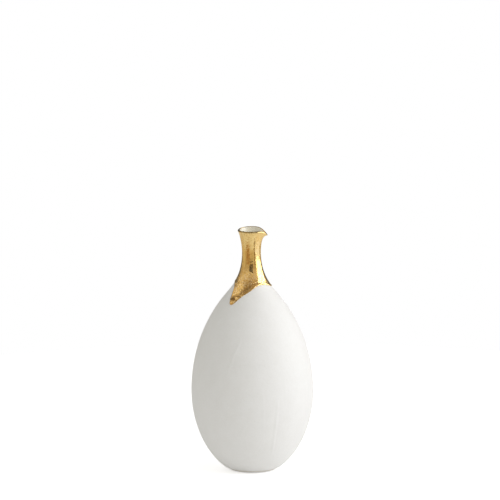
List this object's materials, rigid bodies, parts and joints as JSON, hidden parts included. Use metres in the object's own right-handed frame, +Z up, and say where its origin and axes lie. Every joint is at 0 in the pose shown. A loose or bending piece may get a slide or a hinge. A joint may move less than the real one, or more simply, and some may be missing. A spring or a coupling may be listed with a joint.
{
  "type": "vase",
  "caption": "Egg-shaped porcelain bottle vase with a slender flared neck, a small pouring lip and gold glaze running down its shoulder over a matt white coat.",
  "frame": {"origin": "centre of the base, on the plane that the felt pads stand on", "axes": "+Z up along the vase's axis, +X towards the pouring lip, -Y towards the side with the long gold run at its left"},
  "size_m": [0.1522, 0.1522, 0.3062],
  "materials": {
    "porcelain": "matte",
    "matt_white": "matte",
    "gold": "gloss",
    "gloss_white": "gloss",
    "felt": "matte"
  },
  "bodies": {
    "root": {"egg_body": "porcelain", "neck": "porcelain", "white_glaze": "matt_white", "gold_glaze": "gold", "inner_glaze": "gloss_white", "felt_pads": "felt"}
  },
  "joints": []
}
